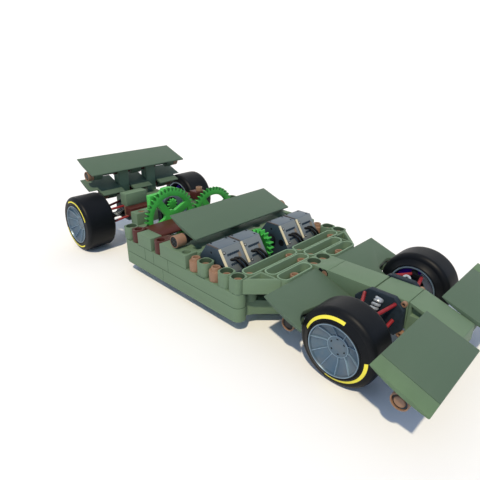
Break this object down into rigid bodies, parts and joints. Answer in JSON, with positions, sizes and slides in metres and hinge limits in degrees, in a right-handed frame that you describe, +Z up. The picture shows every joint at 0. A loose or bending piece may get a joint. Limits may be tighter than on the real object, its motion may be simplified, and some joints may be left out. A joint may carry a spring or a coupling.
{
  "type": "open wheel racing car construction kit model",
  "caption": "Toy open wheel racing car on a beam chassis with slick tyres, stepped wings, electric motors and meshing gears; wheels roll and the front pair steers.",
  "frame": {"origin": "on the ground, under the middle of the bounding box", "axes": "+Z up, -Y towards the nose, +X towards the car's left side"},
  "size_m": [0.1124, 0.2707, 0.0611],
  "materials": {
    "tyre_rubber": "smooth slick rubber",
    "rim_blue_grey": "moulded blue-grey plastic",
    "caliper_purple": "moulded purple plastic",
    "upright_black": "moulded black plastic",
    "navy_plastic": "moulded dark navy plastic",
    "red_rod": "moulded red plastic",
    "spring_steel": "bright spring wire",
    "gear_green": "moulded bright green plastic",
    "pin_black": "moulded black plastic",
    "motor_grey": "moulded blue-grey plastic",
    "lead_black": "black lead insulation",
    "bushing_tan": "moulded tan plastic",
    "brown_plastic": "moulded red-brown plastic",
    "wing_green": "moulded dark sage plastic",
    "beam_green": "moulded sage plastic"
  },
  "bodies": {
    "root": {"brown_beams": "brown_plastic", "bushings": "bushing_tan", "centre_wing": "wing_green", "coil_springs": "spring_steel", "floor_cross_beams": "beam_green", "front_corner_plates": "beam_green", "front_floor_plate": "beam_green", "front_plate_row_a": "beam_green", "front_plate_row_b": "beam_green", "front_plate_row_c": "beam_green", "front_spacer_posts": "beam_green", "front_suspension_blocks": "navy_plastic", "front_wing_ends": "beam_green", "front_wings": "wing_green", "front_wishbones": "red_rod", "gear_bearings": "navy_plastic", "gear_guard": "gear_green", "gearbox_pinion": "gear_green", "inner_motors": "motor_grey", "mid_wings": "wing_green", "motor_leads": "lead_black", "motor_plate": "beam_green", "nose_beam": "beam_green", "nose_cap": "beam_green", "nose_root": "beam_green", "nose_tip": "beam_green", "outer_motors": "motor_grey", "rear_calipers": "caliper_purple", "rear_gearbox": "motor_grey", "rear_lower_wing": "wing_green", "rear_rails_lower": "beam_green", "rear_rails_upper": "beam_green", "rear_suspension_blocks": "navy_plastic", "rear_upper_wing": "wing_green", "rear_uprights": "upright_black", "rear_wing_struts": "wing_green", "rear_wishbones": "red_rod", "side_beams_lower": "beam_green", "side_beams_upper": "beam_green", "side_blocks": "beam_green", "side_posts": "beam_green", "tail_block": "beam_green", "wing_bushings": "bushing_tan", "wing_pins": "pin_black"},
    "steer_left": {"knuckle_left": "upright_black", "caliper_front_left": "caliper_purple"},
    "steer_right": {"knuckle_right": "upright_black", "caliper_front_right": "caliper_purple"},
    "wheel_front_left": {"tyre_front_left": "tyre_rubber", "rim_front_left": "rim_blue_grey"},
    "wheel_front_right": {"tyre_front_right": "tyre_rubber", "rim_front_right": "rim_blue_grey"},
    "wheel_rear_left": {"tyre_rear_left": "tyre_rubber", "rim_rear_left": "rim_blue_grey"},
    "wheel_rear_right": {"tyre_rear_right": "tyre_rubber", "rim_rear_right": "rim_blue_grey"},
    "big_gear_left": {"gear_left": "gear_green"},
    "big_gear_right": {"gear_right": "gear_green"},
    "drive_gear": {"drive_gear": "gear_green", "motor_shaft": "pin_black"}
  },
  "joints": [
    {"name": "steering_left", "type": "hinge", "parent": "root", "child": "steer_left", "pos_m": [0.0276, -0.09227, 0.0192], "axis": [0, 0, 1], "range_deg": [-8, 8]},
    {"name": "steering_right", "type": "hinge", "parent": "root", "child": "steer_right", "pos_m": [-0.0276, -0.09227, 0.0192], "axis": [0, 0, 1], "range_deg": [-8, 8]},
    {"name": "wheel_front_left_spin", "type": "hinge", "parent": "steer_left", "child": "wheel_front_left", "pos_m": [0.036, -0.09227, 0.01824], "axis": [1, 0, 0], "continuous": true},
    {"name": "wheel_front_right_spin", "type": "hinge", "parent": "steer_right", "child": "wheel_front_right", "pos_m": [-0.036, -0.09227, 0.01824], "axis": [1, 0, 0], "continuous": true},
    {"name": "wheel_rear_left_spin", "type": "hinge", "parent": "root", "child": "wheel_rear_left", "pos_m": [0.0448, 0.11573, 0.0196], "axis": [1, 0, 0], "continuous": true},
    {"name": "wheel_rear_right_spin", "type": "hinge", "parent": "root", "child": "wheel_rear_right", "pos_m": [-0.0448, 0.11573, 0.0196], "axis": [1, 0, 0], "continuous": true},
    {"name": "big_gear_right_spin", "type": "hinge", "parent": "root", "child": "big_gear_right", "pos_m": [0.01936, 0.05413, 0.02472], "axis": [0, 1, 0], "continuous": true},
    {"name": "big_gear_left_spin", "type": "hinge", "parent": "root", "child": "big_gear_left", "pos_m": [-0.0176, 0.05413, 0.0316], "axis": [0, 1, 0], "continuous": true},
    {"name": "drive_gear_spin", "type": "hinge", "parent": "root", "child": "drive_gear", "pos_m": [-0.002, -0.01227, 0.02744], "axis": [1, 0, 0], "continuous": true}
  ],
  "couplings": [
    {"joint": "steering_right", "follows": "steering_left", "ratio": 1},
    {"joint": "big_gear_left_spin", "follows": "big_gear_right_spin", "ratio": -1}
  ]
}
